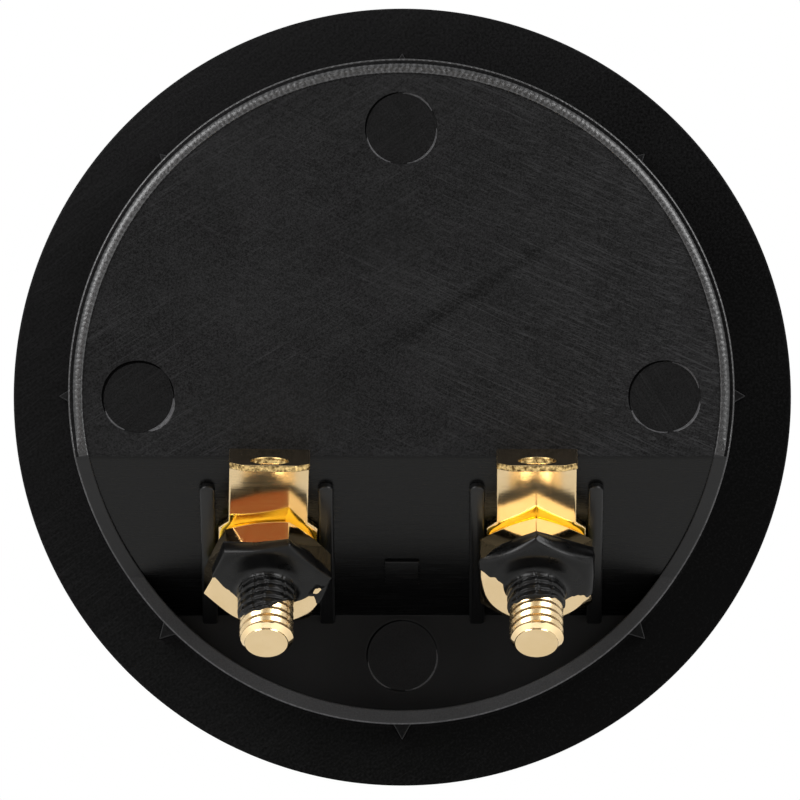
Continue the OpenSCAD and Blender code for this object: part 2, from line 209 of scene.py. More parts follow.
# Frame of each terminal: origin on the slanted wall's rear face, z along the stud
# into the cabinet, y up the wall. The knob's hinge gives the axis and the shoulder.
post = dict(
    studR=2.5, studEnd=11.5, studChamfer=0.5, studPilot=0.12, studEdge=0.06,
    studPitch=0.87, studDepth=0.17, studCrest=0.06, studStep=0.04, threadFrom=0.6,
    shoulderR=5.0, shoulderBack=-4.0, shoulderFront=-5.5, shoulderEdge=0.12,
    barrelR=3.5, barrelEnd=-22.9, barrelChamfer=0.5, neckIn=0.05, neckLen=3.5,
    barrelPitch=1.0, barrelDepth=0.42, barrelCrest=0.3, barrelStep=0.0625,
    socketR=2.0, socketDepth=12.5, socketEdge=0.3, drillTip=0.9, wireHoleR=1.3, wireHoleAt=-7.4,
)
terminals = {}
for side in sides:
    hinge = joints[side + "_knob_turn"]
    inward = -np.array(hinge["axis"])
    terminals[side] = dict(
        origin=np.array(hinge["pos_m"]) - inward * post["shoulderFront"] * mm,
        up=np.cross(inward, across),
        inward=inward,
    )


# Terminal frame to the row's frame: origin plus each coordinate times its axis.
def fromTerminal(side, points):
    place = terminals[side]
    x, y, z = (points[..., i, None] * mm for i in range(3))
    return place["origin"] + x * across + y * place["up"] + z * place["inward"]


# A shader node with its inputs, linked where the value is a socket and set where it is a number.
def addNode(tree, kind, inputs=(), **settings):
    node = tree.nodes.new("ShaderNode" + kind)
    for key, value in settings.items():
        setattr(node, key, value)
    for key, value in dict(inputs).items():
        if isinstance(value, bpy.types.NodeSocket):
            tree.links.new(value, node.inputs[key])
        else:
            node.inputs[key].default_value = value
    return node


# A material with its shader, constants set on the shader, and the Object coordinates.
def newFinish(name, **surface):
    material = bpy.data.materials.new(name)
    material.use_nodes = True
    tree = material.node_tree
    shader = tree.nodes["Principled BSDF"]
    for key, value in surface.items():
        shader.inputs[key.replace("_", " ")].default_value = value
    place = addNode(tree, "TexCoord").outputs["Object"]
    return material, tree, shader, place


# Noise whose cells have the given size in millimetres; a tilt turns them in the plate's plane.
def cells(tree, place, size, tilt=0.0, detail=3, rough=0.6):
    size = (size,) * 3 if np.isscalar(size) else size
    inputs = {"Vector": place, "Rotation": (0, tilt, 0), "Scale": [side * mm for side in size]}
    turned = addNode(tree, "Mapping", inputs, vector_type="TEXTURE")
    inputs = {"Vector": turned.outputs[0], "Scale": 1, "Detail": detail, "Roughness": rough}
    return addNode(tree, "TexNoise", inputs).outputs["Fac"]


# One step of arithmetic on fields or numbers; the sum and the product have their own short names.
def mathOf(tree, operation, a, b=0.5):
    return addNode(tree, "Math", {0: a, 1: b}, operation=operation).outputs[0]


def added(tree, a, b):
    return mathOf(tree, "ADD", a, b)


def times(tree, a, b):
    return mathOf(tree, "MULTIPLY", a, b)


# Value between two levels as a field runs from one bound to the other.
def spread(tree, field, bounds, levels):
    inputs = {"Value": field, "From Min": bounds[0], "From Max": bounds[1],
              "To Min": levels[0], "To Max": levels[1]}
    return addNode(tree, "MapRange", inputs).outputs["Result"]


# Colour from dark to light as a field runs from 0 to 1.
def blendColours(tree, field, dark, light):
    mix = addNode(tree, "Mix", {"Factor": field}, data_type="RGBA")
    mix.inputs[6].default_value, mix.inputs[7].default_value = (*dark, 1), (*light, 1)
    return mix.outputs[2]


# Links a tone and a roughness to the shader's own sockets.
def feed(tree, shader, tone, rough):
    tree.links.new(tone, shader.inputs["Base Color"])
    tree.links.new(rough, shader.inputs["Roughness"])


# Bump of a field, in millimetres, on top of another one where that is given.
def bumped(tree, shader, field, strength, height, below=None):
    inputs = {"Height": field, "Strength": strength, "Distance": height * mm}
    if below is not None:
        inputs["Normal"] = below
    bump = addNode(tree, "Bump", inputs).outputs["Normal"]
    tree.links.new(bump, shader.inputs["Normal"])
    return bump


# Moulded black plastic: a fine eroded texture and a slow drift of tone.
def mouldedFinish(name, dark, light, rough, grain=0.15, height=0.004, specular=0.2, sharpness=0.3):
    made, tree, shader, place = newFinish(name, Specular_IOR_Level=specular)
    fine = cells(tree, place, grain)
    broad = cells(tree, place, 5.5)
    both = added(tree, fine, times(tree, broad, 0.4))
    level = spread(tree, both, (0.7 - sharpness, 0.7 + sharpness), (0, 1))
    feed(tree, shader, blendColours(tree, level, dark, light), spread(tree, fine, (0.3, 0.7), rough))
    bumped(tree, shader, fine, 0.5, height)
    return made


# Scuffed plastic: a fine mottle and a slow drift of tone under sparse fine strokes. Each family of
# strokes has its own tilt and grows across the piece in one direction, and a dull rub line may cross it.
def scuffedFinish(name, dark, light, rough, strokes, lean=(0, 0), rub=None, specular=0.2,
                  drift=9, grain=0.15):
    made, tree, shader, place = newFinish(name, Specular_IOR_Level=specular)
    split = addNode(tree, "SeparateXYZ", {0: place}).outputs
    mottle = cells(tree, place, grain, detail=2)
    broad = cells(tree, place, (drift, drift, drift * 0.7))
    level = added(tree, spread(tree, mottle, (0.34, 0.66), (0, 0.5)),
                  spread(tree, broad, (0.3, 0.7), (-0.06, 0.12)))
    marks = mottle
    for family in strokes:
        length = family["length"]
        lines = cells(tree, place, (length, length, 0.12), math.radians(family["tilt"]), 3, 0.62)
        patchy = cells(tree, place, (2 * length, 2 * length, 5), math.radians(family["tilt"]))
        lines = spread(tree, lines, (0.52, 0.78), (0, 1))
        lines = times(tree, lines, spread(tree, patchy, (0.35, 0.62), (0.15, 1)))
        grow = spread(tree, split["X"], [x * mm for x in family["grows"]], (0.25, 1))
        lines = times(tree, lines, grow)
        level = added(tree, level, times(tree, lines, family["amount"]))
        marks = added(tree, marks, lines)
    # lean: a painted light gradient, the tone lighter towards the side the light falls from
    for axis, slope in zip("XZ", lean):  # tone change per metre
        if slope:
            level = added(tree, level, times(tree, split[axis], slope))
    if rub:
        inputs = {"Vector": place, "Rotation": (0, rub["tilt"], 0), "Scale": [mm] * 3,
                  "Location": [c * mm for c in rub["middle"]]}
        turned = addNode(tree, "Mapping", inputs, vector_type="TEXTURE").outputs[0]
        away = addNode(tree, "SeparateXYZ", {0: turned}).outputs
        off, along = (mathOf(tree, "ABSOLUTE", away[axis]) for axis in "ZX")
        near = times(tree, spread(tree, off, (rub["width"], 0), (0, 1)),
                     spread(tree, along, (rub["reach"], rub["reach"] * 0.6), (0, rub["depth"])))
        level = mathOf(tree, "SUBTRACT", level, near)
    feed(tree, shader, blendColours(tree, level, dark, light), spread(tree, marks, (0.3, 1.0), rough))
    bumped(tree, shader, marks, 0.5, 0.005)
    return made


# Bead of the rim: grain, marks that run outwards from the cup's axis as noise of (angle, radius), and small
# ridges as a sine of the angle. The tone leans across the cup, lighter on the left: painted light from the
# upper left. It fades out at the bead's ends.
def beadFinish(name, dark, light, rough, ridges, lean, fade, specular=0.8):
    made, tree, shader, place = newFinish(name, Specular_IOR_Level=specular)
    split = addNode(tree, "SeparateXYZ", {0: place}).outputs
    turn = mathOf(tree, "ARCTAN2", split["Z"], split["X"])
    far = addNode(tree, "VectorMath", {0: place}, operation="LENGTH").outputs["Value"]
    noises = []
    for often in (85, 11):  # cells per radian, with 1500 per metre of radius
        spot = addNode(tree, "CombineXYZ", {"X": times(tree, turn, often), "Y": times(tree, far, 1500)})
        inputs = {"Vector": spot.outputs[0], "Scale": 1, "Detail": 3, "Roughness": 0.7}
        noises.append(addNode(tree, "TexNoise", inputs).outputs["Fac"])
    ticks, shift = noises
    phase = added(tree, times(tree, turn, ridges), times(tree, shift, 16))
    wave = mathOf(tree, "SINE", phase)
    ridge = times(tree, wave, spread(tree, ticks, (0.35, 0.6), (0.1, 0.42)))
    grain = cells(tree, place, 0.19, detail=2)
    both = added(tree, added(tree, times(tree, ticks, 0.6), grain), ridge)
    level = spread(tree, both, (0.55, 1.3), (0, 1))
    # painted light: the bead lighter towards the left
    level = added(tree, level, times(tree, split["X"], lean))
    level = times(tree, level, spread(tree, split["Z"], [z * mm for z in fade], (0.2, 1)))
    feed(tree, shader, blendColours(tree, level, dark, light), spread(tree, grain, (0.3, 0.7), rough))
    bumped(tree, shader, both, 0.7, 0.03)
    return made


# Thin bright plating: faint drift of tone, grain along the strip and a soft waviness.
def platedFinish(name, dark, light, rough, grainSize, grain=0.25, wave=0.012, patches=3.1):
    made, tree, shader, place = newFinish(name, Metallic=1.0)
    drift = cells(tree, place, patches)
    lines = cells(tree, place, grainSize, detail=4)
    tone = blendColours(tree, spread(tree, drift, (0.35, 0.65), (0, 1)), dark, light)
    feed(tree, shader, tone, spread(tree, lines, (0.3, 0.7), rough))
    under = bumped(tree, shader, lines, grain, 0.004)
    bumped(tree, shader, drift, 0.4, wave, under)
    return made


# Grey with a little blue, as black plastic reflects it.
def grey(level):
    return (level, level, level * 1.04)


rubLine = dict(tilt=math.radians(-33), middle=(5.8, 0, 8.6), reach=11.5, width=0.9, depth=0.22)
plateStrokes = [dict(tilt=25, length=6.5, grows=(-12, 16), amount=1.15),
                dict(tilt=-31, length=6.5, grows=(14, -18), amount=0.7),
                dict(tilt=8, length=6.5, grows=(-30, 30), amount=0.3),
                dict(tilt=17, length=1.1, grows=(5, 23), amount=1.5)]
flangeStrokes = [dict(tilt=-38, length=6.5, grows=(30, -34), amount=0.8),
                 dict(tilt=-30, length=6.5, grows=(20, -30), amount=0.65)]
markStrokes = [dict(tilt=58, length=6.5, grows=(-20, 20), amount=0.6),
               dict(tilt=-35, length=6.5, grows=(20, -20), amount=0.6)]
goldTones = (0.93, 0.7, 0.39), (0.98, 0.75, 0.44)
finish = dict(
    # the flange leans lighter to the left and the top: painted light from the upper left
    moulded=scuffedFinish("moulded black", grey(0.0004), grey(0.0098), (0.42, 0.55), flangeStrokes,
                          lean=(-7, 6), specular=0.05, drift=24, grain=0.24),
    plate=scuffedFinish("scuffed plate", grey(0.0008), grey(0.0182), (0.45, 0.6), plateStrokes,
                        rub=rubLine, specular=0.1),
    rim=beadFinish("rim bead", grey(0.003), grey(0.042), (0.27, 0.4), 340, -5, (-5.8, 9)),
    wall=mouldedFinish("smooth black", grey(0.0012), grey(0.002), (0.22, 0.3), (4.5, 0.22, 0.22), 0.0007),
    mark=scuffedFinish("pin mark black", grey(0.0006), grey(0.0098), (0.42, 0.52), markStrokes,
                       drift=5, specular=0.1),
    rimSlope=mouldedFinish("sloped rim black", grey(0.009), grey(0.016), (0.4, 0.5), 0.2),
    rimLow=mouldedFinish("pocket rim black", grey(0.006), grey(0.025), (0.45, 0.6), 0.15, 0.005),
    pocketFloor=mouldedFinish("pocket floor black", grey(0.0016), grey(0.0056), (0.45, 0.6), 0.17,
                              specular=0.1, sharpness=0.2),
    bars=mouldedFinish("wall rib black", grey(0.003), grey(0.007), (0.28, 0.38), 0.2, specular=0.35),
    # lighter edge finish: a painted highlight on the marks' edges and on the lower rims' outer edges
    edgeHighlight=mouldedFinish("painted edge highlight", grey(0.02), grey(0.09), (0.4, 0.5), 0.3),
    front=mouldedFinish("front black", grey(0.006), grey(0.013), (0.34, 0.46), 0.2, 0.003, 0.4),
    # near black: painted shadow on the marks' shaded inner edges
    markShade=mouldedFinish("pin mark painted shadow", grey(0.0002), grey(0.0008), (0.6, 0.7), specular=0.02),
    gold=platedFinish("gold plating", *goldTones, (0.07, 0.14), (1.1, 0.24, 0.24)),
    threadGold=platedFinish("gold thread", *goldTones, (0.2, 0.3), (0.5, 0.12, 0.12), 0.4),
    # saturated yellow gold on the nut's foot: a painted reflection of light bounced between the foot, the nut
    # and the tab
    nutFootReflection=platedFinish("painted reflection yellow gold", (0.98, 0.77, 0.09), (1.0, 0.81, 0.12), (0.07, 0.14),
                         (1.1, 0.24, 0.24)),
    tabGold=platedFinish("gold plated strip", *goldTones, (0.09, 0.19), (3.4, 0.12, 0.12), 0.6),
    tabEdge=platedFinish("sheared gold edge", (0.1, 0.06, 0.02), (0.85, 0.6, 0.25), (0.2, 0.4), 0.3,
                         grain=0.8, wave=0.04, patches=0.35),
    redPlastic=mouldedFinish("red plastic", (0.42, 0.012, 0.010), (0.52, 0.022, 0.016), (0.22, 0.34),
                             0.18, 0.0012, 0.5),
    blackPlastic=mouldedFinish("glossy black plastic", grey(0.007), grey(0.012), (0.2, 0.32),
                               0.18, 0.0012, 0.4),
)


# Brushed lacquer: satin, with a fine orange-peel skin.
def lacquerFinish():
    made, tree, shader, place = newFinish("black lacquer", Specular_IOR_Level=0.26)
    fine = cells(tree, place, 0.22, detail=3)
    broad = cells(tree, place, 1.4, detail=2)
    tone = blendColours(tree, spread(tree, broad, (0.35, 0.65), (0, 1)), grey(0.001), grey(0.0025))
    feed(tree, shader, tone, spread(tree, broad, (0.3, 0.7), (0.25, 0.35)))
    bumped(tree, shader, fine, 0.5, 0.02)
    return made


finish["lacquer"] = lacquerFinish()
print("finishes ready:", len(finish))

cup = dict(
    flangeR=36.5, flangeT=2.5, flangeEdge=1.2, rearEdge=0.2,
    collarR=30.75, collarInR=29.42, collarFoot=0.3, rimEdge=0.14, rimInnerEdge=0.16,
    beadR=30.34, beadRound=0.7, ledgeDrop=0.45, ledgeRun=3.5,
    rimStep=0.2, pocketRim=4.5, mouthEdge=0.7,
    depth=17.3, plateT=2.0, slant=math.radians(50), foldDrop=6.0, foldSoft=0.3, footSoft=0.12,
    markR=3.3, markDepth=0.18, markRing=24.3, markDrop=0.5, markGap=0.5, markEdge=0.07,
    markLip=0.035, lipW=0.24,
    # arcs (from, to, width) round the marks at the top, left, right and on the pocket's floor, in degrees:
    # painted highlights outside each mark's edge, then painted shadows inside it
    markHighlightArcs=[[(-80, 0, 0.14), (195, 252, 0.1), (30, 88, 0.12)], [(-72, -2, 0.34), (204, 248, 0.1)],
              [(-76, -8, 0.2), (202, 232, 0.14), (232, 275, 0.08), (15, 78, 0.1)],
              [(-85, 10, 0.12), (190, 250, 0.1)]],
    markShades=[[(95, 195, 0.16)], [(50, 206, 0.24), (0, 30, 0.1)], [(82, 204, 0.17)], [(90, 190, 0.14)]],
    holeR=2.65,
    ribCount=8, ribOut=1.45, ribW=1.6, ribLen=3.4, ribSlope=1.6,
    wallRibGap=9.6, wallRibW=1.4, wallRibH=0.6, wallRibUp=9.4, ribEdge=0.22,
    padW=3.2, padLen=3.4, padH=0.3, padDown=3.2, edgeSoft=0.1,
)


# Level of a plane parallel to the slanted wall's rear face, so far behind it, at height y.
def slantLevel(y, behind):
    lean = math.sin(cup["slant"]) * (y + cup["foldDrop"]) + behind
    return cup["depth"] + lean / math.cos(cup["slant"])


# Slanted plane limited to a level above and a level below, with soft folds.
def foldedLevel(y, behind, low, high):
    limited = softLesser(slantLevel(y, behind), high, cup["foldSoft"])
    return softLesser(limited, low, cup["footSoft"], -1)


# Height at which such a plane reaches a level: slantLevel the other way round.
def heightOnSlant(level, behind):
    lean = (level - cup["depth"]) * math.cos(cup["slant"]) - behind
    return lean / math.sin(cup["slant"]) - cup["foldDrop"]


# Centres (x, y) of the ejector marks: three on the plate, one on the pocket's floor.
def markCentres():
    floorMark = heightOnSlant(0, 0) - cup["markGap"] - cup["markR"]
    return np.array([(0, cup["markRing"]), (-cup["markRing"], -cup["markDrop"]),
                     (cup["markRing"], -cup["markDrop"]), (0, floorMark)])


# Depth of the marks at a point: full inside a mark's radius, falling to nothing over its edge,
# less a low lip raised round it.
def markSink(xy):
    away = np.hypot(*np.moveaxis(xy[:, None] - markCentres()[None], -1, 0)).min(1)
    lip = cup["markLip"] * np.exp(-((away - cup["markR"] - cup["lipW"]) / cup["lipW"]) ** 2)
    inside = (cup["markR"] + cup["markEdge"] - away) / (2 * cup["markEdge"])
    return cup["markDepth"] * smoothStep(inside) - lip


# Points inside arcs along each mark's edge: a painted highlight outside it, or a painted shadow inside. An
# arc's width grows and falls as the root of the sine of its share.
def edgeArcs(xy, arcs, way):
    off = xy[:, None] - markCentres()[None]
    nearest = np.hypot(off[..., 0], off[..., 1]).argmin(1)
    x, y = off[np.arange(len(xy)), nearest].T
    beyond = way * (np.hypot(x, y) - cup["markR"])
    inside = np.zeros(len(xy), bool)
    for mark, runs in enumerate(arcs):
        for start, end, width in runs:
            share = (np.degrees(np.arctan2(y, x)) - start) % 360 / (end - start)
            reach = width * np.sqrt(np.sin(math.pi * np.clip(share, 0, 1)))
            inside |= ((nearest == mark) & (share < 1) & (beyond > -cup["markEdge"])
                       & (beyond < reach - cup["markEdge"] / 2))
    return inside


# Closed loop of points round a centre.
def circle(centre, radius, count=96):
    turn = evenTurn(count)
    return np.asarray(centre) + np.column_stack([np.cos(turn), np.sin(turn)]) * radius


# Height field over the collar's inner circle: its outline, lines across it at the given heights
# and closed loops are joined by constrained triangles, and each point takes its level from y.
def foldedSheet(outline, heights, loops, holes):
    inR = cup["collarInR"]
    points, edges = [], []

    def addRun(run, closed):
        first = sum(map(len, points))
        index = first + np.arange(len(run))
        points.append(run)
        edges.append(np.column_stack([index, np.roll(index, -1)])[: None if closed else -1])

    addRun(outline, True)
    for y in heights:
        reach = math.sqrt(inR ** 2 - y ** 2)
        addRun(np.column_stack([np.linspace(-reach, reach, 31), np.full(31, y)]), False)
    for loop in [*loops, *holes]:
        addRun(loop, True)
    made = delaunay_2d_cdt([Vector(p) for p in np.concatenate(points).tolist()],
                           np.concatenate(edges).tolist(), [], 0, 1e-4)
    xy, triangles = np.array([tuple(p) for p in made[0]]), np.array(made[2])
    middle = xy[triangles].mean(1)
    kept = np.ones(len(triangles), bool)
    for hole in holes:
        centre, span = hole.mean(0), np.ptp(hole, axis=0) / 2
        kept &= (((middle - centre) / span) ** 2).sum(1) > 1
    return xy, triangles[kept], middle[kept]


# Shell: rows of the cup's section carried round by angle, with levels that follow the folds by height,
# closed by the two sides of plate, slanted wall and pocket floor.
def buildShell():
    inR, outR, flangeR = cup["collarInR"], cup["collarR"], cup["flangeR"]
    front, rimTop = -cup["flangeT"], cup["depth"] + cup["rimStep"]
    floorFront = cup["depth"] - cup["plateT"]
    rearFolds = [heightOnSlant(cup["depth"], 0), heightOnSlant(0, 0)]
    frontFolds = [heightOnSlant(floorFront, -cup["plateT"]), heightOnSlant(front, -cup["plateT"])]
    rimFolds = [heightOnSlant(rimTop, cup["rimStep"]) * inR / outR,
                heightOnSlant(cup["pocketRim"], cup["rimStep"]) * inR / outR]
    near = np.array([-0.7, -0.45, -0.3, -0.2, -0.1, -0.05, 0, 0.05, 0.1, 0.2, 0.3, 0.45, 0.7])
    lines = {key: np.round(np.add.outer(folds, near).ravel(), 3)
             for key, folds in dict(rear=rearFolds, front=frontFolds, rim=rimFolds).items()}
    even = np.round(inR * np.sin(np.linspace(-math.pi / 2, math.pi / 2, 181)), 3)
    lift = np.arcsin(np.unique(np.concatenate([even, *lines.values()])) / inR)
    angle = np.concatenate([lift, (math.pi - lift[1:-1])[::-1]])
    cosA, sinA = np.cos(angle), np.sin(angle)

    # levels of the plate's two sides and of the rim, as functions of height
    rear = lambda y: foldedLevel(y, 0, 0, cup["depth"])
    recess = lambda y: foldedLevel(y, -cup["plateT"], front, floorFront)
    rim = lambda y: foldedLevel(y, cup["rimStep"], cup["pocketRim"], rimTop)

    # section of the cup as rows of (radius, level, zone), from the recess over the flange to the plate
    quarter = [(1 - math.cos(a), 1 - math.sin(a)) for a in np.linspace(0, math.pi / 2, 8)]
    openShare = np.clip((recess(inR * sinA) - front) / cup["mouthEdge"], 0, 1)
    rows = [(inR, recess(inR * sinA), 10)]
    rows += [(inR + cup["mouthEdge"] * c, front + cup["mouthEdge"] * s * openShare, 10) for c, s in quarter]
    rows += [(flangeR - cup["flangeEdge"] * s, front + cup["flangeEdge"] * c, 10) for c, s in quarter]
    rows += [(flangeR - cup["rearEdge"] * c, -cup["rearEdge"] * s, 0) for c, s in quarter]
    rows += [(outR + cup["collarFoot"] * s, cup["collarFoot"] * c, 0) for c, s in quarter]

    # rim: a crisp outer edge, a ledge and a bead with a round shoulder; the ledge rises into the bead
    # where the rim starts down the slant, and the pocket's rim is flat
    height = inR * sinA
    upper, pocket = height > rimFolds[0], height < rimFolds[1]
    rimZone = np.where(upper, 2, np.where(pocket, 6, 5))
    ledge = cup["ledgeDrop"] * smoothStep((height - rimFolds[0]) / cup["ledgeRun"])
    # below the upper rim the outer edge's rounding takes the lighter edge finish: a painted highlight along
    # the rim's outer edge
    for c, s in quarter:
        r = outR - cup["rimEdge"] * c
        edgeZone = np.where(upper, 2, 8) if c else 0  # the collar's outer wall below it is plain
        rows.append((r, rim(r * sinA) - ledge - cup["rimEdge"] * s, edgeZone))
    rows.append((cup["beadR"], rim(cup["beadR"] * sinA) - ledge, np.where(upper, 0, rimZone)))
    for c, s in quarter[1:]:
        r = cup["beadR"] - cup["beadRound"] * c
        rows.append((r, rim(r * sinA) - ledge * s, rimZone))
    for c, s in quarter:
        r = inR + cup["rimInnerEdge"] * s
        rows.append((r, rim(r * sinA) - cup["rimInnerEdge"] * c, rimZone))
    rows.append((inR, rear(inR * sinA), 3))
    ring = np.stack([polar(r, angle, z) for r, z, _ in rows])
    ringZone = np.concatenate([np.broadcast_to(zone, len(angle)) for _, _, zone in rows[1:]])
    patches = [patch(fromCup(ring), ringZone, closeCols=True)]

    # the plate's two sides, joined by the stud holes
    outline = inR * np.column_stack([cosA, sinA])
    edge = np.concatenate([
        cup["markEdge"] * np.array([-3.5, -2.8, -2, -1.5, -1, -0.5, 0, 0.5, 1, 1.5, 2, 2.5]),
        cup["lipW"] * np.array([0.9, 1.1, 1.5, 2, 2.6]),
    ])
    loops = [circle(centre, cup["markR"] + e, 144) for centre in markCentres() for e in edge]
    tube = np.stack([polar(cup["holeR"], evenTurn(96), z) for z in (0, -cup["plateT"])])
    tubes = [toCup(fromTerminal(side, tube)) for side in sides]
    xy, faces, middle = foldedSheet(outline, lines["rear"], loops, [tube[0, :, :2] for tube in tubes])
    zone = np.where(middle[:, 1] > rearFolds[0], 1, np.where(middle[:, 1] < rearFolds[1], 7, 3))
    zone = np.where(markSink(middle) > cup["markDepth"] / 2, 4, zone)
    # painted shadow inside the marks' edges and painted highlight outside them, on the arcs given in cup
    zone = np.where(edgeArcs(middle, cup["markShades"], -1), 11, zone)
    zone = np.where(edgeArcs(middle, cup["markHighlightArcs"], 1), 8, zone)
    sheet = np.column_stack([xy, rear(xy[:, 1]) - markSink(xy)])
    patches.append((fromCup(sheet), faces, zone))
    xy, faces, _ = foldedSheet(outline, lines["front"], [], [tube[1, :, :2] for tube in tubes])
    patches.append((fromCup(np.column_stack([xy, recess(xy[:, 1])])), faces, np.full(len(faces), 10)))
    patches += [patch(fromCup(tube), 3, closeCols=True) for tube in tubes]
    shell = makePiece("cupShell", patches, 2e-6)
    crisp(shell, 40)
    return shell


# Crush ribs round the collar: V-shaped prisms whose inner end slopes down to the ridge.
def crushRibs():
    outR, ridge = cup["collarR"], cup["collarR"] + cup["ribOut"]
    root = outR - (outR - cup["collarInR"]) / 4
    half = cup["ribW"] / 2
    outline = np.array([(root, -half), (outR, -half), (ridge, 0), (outR, half), (root, half)])
    top = cup["ribLen"] - cup["ribSlope"] / cup["ribOut"] * (outline[:, 0] - outR)
    rib = prism(outline, -cup["flangeT"] / 2, top)
    for turn in math.pi / 2 + evenTurn(cup["ribCount"]):
        c, s = math.cos(turn), math.sin(turn)
        x, y, z = np.moveaxis(rib, -1, 0)
        yield patch(fromCup(np.stack([x * c - y * s, x * s + y * c, z], -1)), 0, closeCols=True)


# Low ribs beside each terminal: rings of a bar with a round upper end, drawn in as they
# rise over the rounded edge, and closed on the bar's middle line.
def wallRibs():
    half, root, edge = cup["wallRibW"] / 2, -cup["plateT"] / 4, cup["ribEdge"]
    foot = -terminalRise() / math.sin(cup["slant"]) + root
    arc = np.linspace(0, math.pi, 33)
    turn = np.linspace(0, math.pi / 2, 6)
    insets = np.concatenate([[0], edge * (1 - np.cos(turn)), [half]])
    levels = np.concatenate([[root], cup["wallRibH"] - edge * (1 - np.sin(turn)), [cup["wallRibH"]]])
    rings = []
    for inset, level in zip(insets, levels):
        w = half - inset
        line = np.vstack([[(-w, foot), (w, foot)],
                          np.column_stack([w * np.cos(arc), cup["wallRibUp"] - half + w * np.sin(arc)])])
        rings.append(np.column_stack([line, np.full(len(line), level)]))
    bar = np.stack(rings)
    for side in sides:
        for way in (-1, 1):
            shift = (way * (cup["wallRibGap"] + cup["wallRibW"]) / 2, 0, 0)
            yield patch(fromTerminal(side, bar + shift), 9, closeCols=True)


# Plain pad on the slanted wall, midway between the terminals.
def wallPad():
    w, low, root = cup["padW"] / 2, -cup["padDown"] - cup["padLen"] / 2, -cup["plateT"] / 4
    toMiddle = joints["right_knob_turn"]["pos_m"][0] / mm
    corners = np.array([(-w, low), (w, low), (w, low + cup["padLen"]), (-w, low + cup["padLen"])])
    return patch(fromTerminal("left", prism(corners + (toMiddle, 0), root, cup["padH"])), 3, closeCols=True)


# Height of the terminals' origin over the pocket's floor.
def terminalRise():
    return -terminals["left"]["origin"][1] / mm


shell = buildShell()
ribs = makePiece("crushRibs", list(crushRibs()))
soften(ribs, cup["edgeSoft"], 25)
# the ribs' bevelled edges take the paler pocket rim finish: a painted highlight along their edges
ribs.modifiers["soft edges"].material = 6  # paler than the flange
pad = makePiece("wallPad", [wallPad()])
soften(pad, cup["edgeSoft"], 25)
bars = makePiece("wallRibs", list(wallRibs()))
crisp(bars, 50)
shellFinishes = [finish[key] for key in ("moulded", "plate", "rim", "wall", "mark",
                                        "rimSlope", "rimLow", "pocketFloor", "edgeHighlight", "bars",
                                        "front", "markShade")]
for piece in (shell, ribs, pad, bars):
    dress(piece, "cup", "black_shell", "cup_shell", *shellFinishes)
print("cup shell:", len(shell.data.polygons), "faces")


# Share of a V thread's depth below its crest: a triangle wave of level / pitch - angle / turn,
# cut flat at the crest and at the root.
def threadShare(angle, z, pitch, crest, root=0.04):
    phase = (z / pitch - angle / fullTurn) % 1
    return np.clip((np.abs(2 * phase - 1) - crest) / (1 - crest - root), 0, 1)


